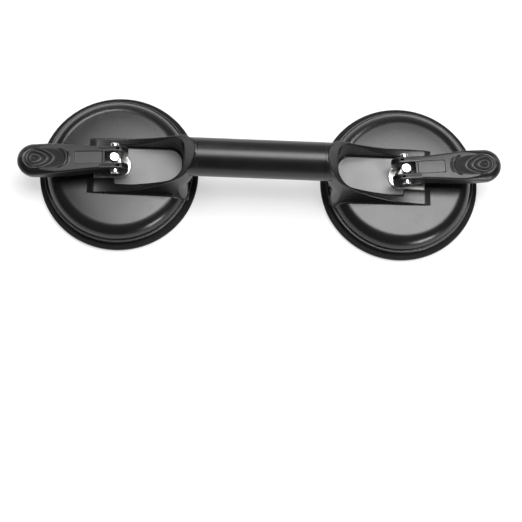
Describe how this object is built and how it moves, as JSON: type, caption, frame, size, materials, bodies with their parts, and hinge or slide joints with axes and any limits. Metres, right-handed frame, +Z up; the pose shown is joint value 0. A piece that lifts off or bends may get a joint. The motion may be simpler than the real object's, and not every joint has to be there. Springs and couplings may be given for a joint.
{
  "type": "suction lifter",
  "caption": "Suction lifter for floor tiles: rubber cups under cast heads with flip levers, joined by a round tube handle; each lever draws its cup through a cam.",
  "frame": {"origin": "on the resting surface, midway between the cups' centres", "axes": "+X along the tube handle, +Z up; the picture's camera stands on the -Y side"},
  "size_m": [0.3694, 0.125, 0.065],
  "materials": {
    "black_cast_paint": "gloss black paint on cast aluminium",
    "black_tube_paint": "satin black paint on steel tube",
    "black_rubber": "moulded black rubber",
    "chrome_plate": "bright chrome plate",
    "lever_paint": "satin dark paint on a die casting",
    "zinc_steel": "zinc plated steel",
    "spring_steel": "oiled spring wire",
    "bush_polymer": "moulded acetal"
  },
  "bodies": {
    "root": {"handle_tube": "black_tube_paint", "housing_left": "black_cast_paint", "suction_pad_left": "black_rubber", "stud_bush_left": "bush_polymer", "return_spring_left": "spring_steel", "wear_plate_left": "chrome_plate", "tube_screw_left": "zinc_steel", "housing_right": "black_cast_paint", "suction_pad_right": "black_rubber", "stud_bush_right": "bush_polymer", "return_spring_right": "spring_steel", "wear_plate_right": "chrome_plate", "tube_screw_right": "zinc_steel"},
    "draw_left": {"insert_plate_left": "zinc_steel"},
    "stud_left": {"draw_stud_left": "chrome_plate", "lever_pin_left": "chrome_plate", "pin_cap_left": "chrome_plate"},
    "lever_left": {"lever_left": "lever_paint"},
    "draw_right": {"insert_plate_right": "zinc_steel"},
    "stud_right": {"draw_stud_right": "chrome_plate", "lever_pin_right": "chrome_plate", "pin_cap_right": "chrome_plate"},
    "lever_right": {"lever_right": "lever_paint"}
  },
  "joints": [
    {"name": "cup_lift_left", "type": "slide", "parent": "root", "child": "draw_left", "axis": [0, 0, 1], "range_m": [-0.0065, 0], "deforming": ["suction_pad_left", "return_spring_left"]},
    {"name": "stud_swivel_left", "type": "hinge", "parent": "draw_left", "child": "stud_left", "pos_m": [-0.1109, 0, 0.0382], "axis": [0, 0, 1], "range_deg": [-12.1, 5.9]},
    {"name": "lever_flip_left", "type": "hinge", "parent": "stud_left", "child": "lever_left", "pos_m": [-0.1109, 0, 0.0382], "axis": [-0.0541, 0.9985, 0], "range_deg": [0, 85]},
    {"name": "cup_lift_right", "type": "slide", "parent": "root", "child": "draw_right", "axis": [0, 0, 1], "range_m": [-0.0065, 0], "deforming": ["suction_pad_right", "return_spring_right"]},
    {"name": "stud_swivel_right", "type": "hinge", "parent": "draw_right", "child": "stud_right", "pos_m": [0.1109, 0, 0.0382], "axis": [0, 0, 1], "range_deg": [-14.7, 3.3]},
    {"name": "lever_flip_right", "type": "hinge", "parent": "stud_right", "child": "lever_right", "pos_m": [0.1109, 0, 0.0382], "axis": [0.0993, -0.9951, 0], "range_deg": [0, 85]}
  ],
  "couplings": [
    {"joint": "cup_lift_left", "follows": "lever_flip_left", "m_per_rad": -0.0043814},
    {"joint": "cup_lift_right", "follows": "lever_flip_right", "m_per_rad": -0.0043814}
  ]
}
